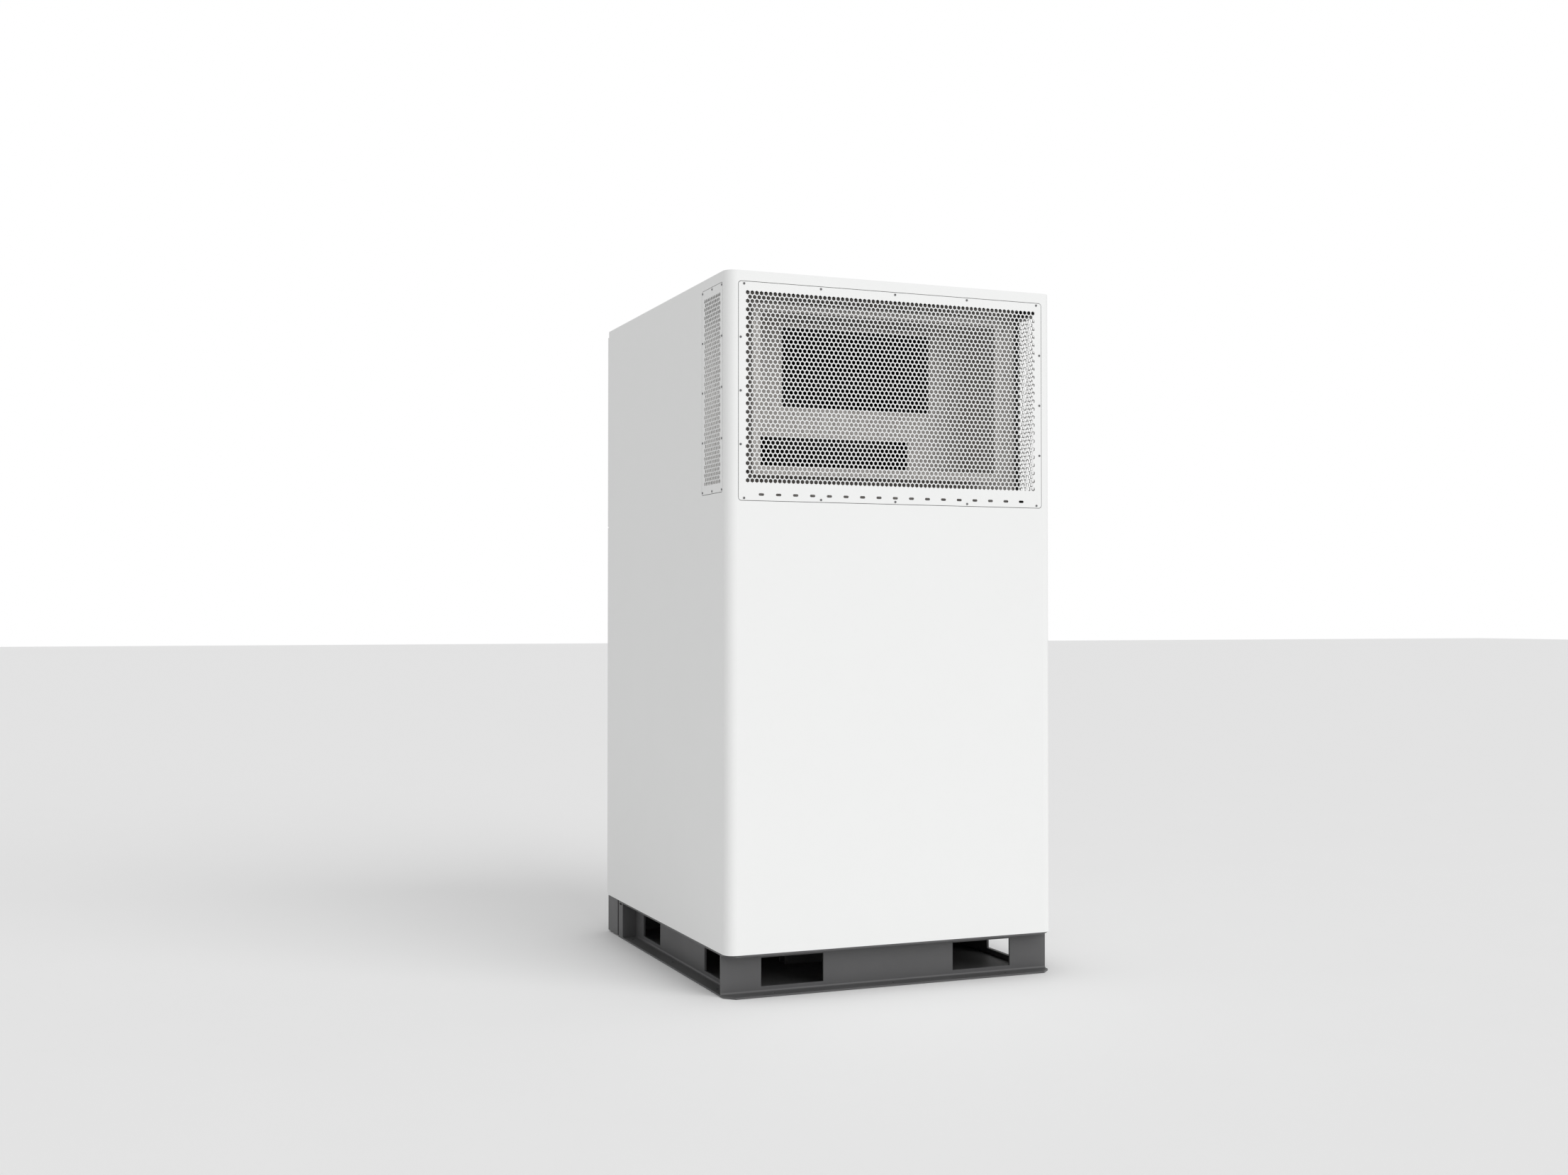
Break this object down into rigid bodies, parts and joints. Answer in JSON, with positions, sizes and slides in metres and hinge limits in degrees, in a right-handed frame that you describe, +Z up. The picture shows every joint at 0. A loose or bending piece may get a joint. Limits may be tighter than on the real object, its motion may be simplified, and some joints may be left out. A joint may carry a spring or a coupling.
{
  "type": "pool heat pump unit",
  "caption": "Upright white sheet-metal heat pump cabinet on a dark fork-pocket base, with a hexagon-perforated discharge grille at the top front and two rear service doors.",
  "frame": {"origin": "centre of the overall footprint, on the ground", "axes": "+Z up, the discharge grille faces -Y, the service doors face +Y, +X to the right seen from the grille"},
  "size_m": [1.0032, 1.1826, 1.957],
  "materials": {
    "white_casing": "fine-textured white powder coat",
    "grey_base": "dark grey powder coat",
    "galvanised": "galvanised sheet, matt",
    "zinc_fastener": "zinc-plated",
    "white_screw": "painted screw head",
    "black_motor": "black enamel",
    "fin_aluminium": "thin bare fins",
    "copper": "drawn copper tube",
    "brass": "machined brass",
    "filter_fabric": "pleated synthetic medium",
    "vessel_black": "satin black",
    "pvc_grey": "moulded PVC",
    "rubber_black": "moulded rubber",
    "drain_plastic": "extruded plastic pipe",
    "gland_black": "moulded nylon",
    "gear_plastic": "moulded switchgear",
    "isolator_yellow": "moulded",
    "isolator_red": "moulded",
    "latch_black": "black die-cast"
  },
  "bodies": {
    "cabinet": {"base_pan": "grey_base", "base_rail_front": "grey_base", "base_rail_left": "grey_base", "base_rail_rear": "grey_base", "base_rail_right": "grey_base", "base_tab_bolts": "zinc_fastener", "blower_motor": "black_motor", "blower_mounting": "zinc_fastener", "blower_scroll": "galvanised", "bulkhead": "galvanised", "cable_glands": "gland_black", "casing_wrap": "white_casing", "coil_fins": "fin_aluminium", "coil_frame": "galvanised", "coil_pipework": "copper", "compressor": "vessel_black", "compressor_mounts": "rubber_black", "connection_recess": "white_casing", "drain_pan": "galvanised", "drain_pipe": "drain_plastic", "duct_collar": "galvanised", "electrical_box": "white_casing", "electrical_cover": "white_casing", "electrical_gear": "gear_plastic", "fan_wall": "galvanised", "filter_drier": "copper", "filter_frame": "galvanised", "filter_media": "filter_fabric", "floor_plate": "galvanised", "gas_lines": "copper", "grille_front": "white_casing", "grille_left": "white_casing", "grille_right": "white_casing", "grille_screws": "white_screw", "grille_seats": "galvanised", "heat_exchanger": "pvc_grey", "hinge_leaves_fixed": "zinc_fastener", "hinge_post": "white_casing", "liquid_lines": "copper", "mid_deck": "galvanised", "plenum_floor": "galvanised", "rear_frame": "white_casing", "receiver": "vessel_black", "reversing_valve": "brass", "suction_accumulator": "vessel_black", "top_cover": "white_casing", "water_unions": "pvc_grey"},
    "blower_rotor": {"blower_wheel": "galvanised", "blower_shaft": "zinc_fastener"},
    "upper_door_leaf": {"upper_door": "white_casing", "intake_grille": "white_casing", "hinge_leaves_upper": "zinc_fastener"},
    "lower_door_leaf": {"lower_door": "white_casing", "isolator_switch": "isolator_yellow", "hinge_leaves_lower": "zinc_fastener"},
    "latch_lower_bottom_turn": {"latch_lower_bottom": "latch_black"},
    "latch_lower_top_turn": {"latch_lower_top": "latch_black"},
    "latch_upper_turn": {"latch_upper": "latch_black"},
    "isolator_knob_turn": {"isolator_knob": "isolator_red"}
  },
  "joints": [
    {"name": "blower_spin", "type": "hinge", "parent": "cabinet", "child": "blower_rotor", "pos_m": [0.01, -0.0417, 1.62], "axis": [1, 0, 0], "continuous": true},
    {"name": "upper_door_hinge", "type": "hinge", "parent": "cabinet", "child": "upper_door_leaf", "pos_m": [0.462, 0.5593, 1.629], "axis": [0, 0, -1], "range_deg": [0, 110]},
    {"name": "lower_door_hinge", "type": "hinge", "parent": "cabinet", "child": "lower_door_leaf", "pos_m": [0.462, 0.5593, 0.718], "axis": [0, 0, -1], "range_deg": [0, 110]},
    {"name": "latch_lower_bottom_quarter_turn", "type": "hinge", "parent": "lower_door_leaf", "child": "latch_lower_bottom_turn", "pos_m": [-0.438, 0.5533, 0.2317], "axis": [0, 1, 0], "range_deg": [0, 90]},
    {"name": "latch_lower_top_quarter_turn", "type": "hinge", "parent": "lower_door_leaf", "child": "latch_lower_top_turn", "pos_m": [-0.438, 0.5533, 1.2044], "axis": [0, 1, 0], "range_deg": [0, 90]},
    {"name": "latch_upper_quarter_turn", "type": "hinge", "parent": "upper_door_leaf", "child": "latch_upper_turn", "pos_m": [-0.438, 0.5533, 1.62875], "axis": [0, 1, 0], "range_deg": [0, 90]},
    {"name": "isolator_quarter_turn", "type": "hinge", "parent": "lower_door_leaf", "child": "isolator_knob_turn", "pos_m": [-0.2, 0.5533, 1.1544], "axis": [0, 1, 0], "range_deg": [0, 90]}
  ]
}
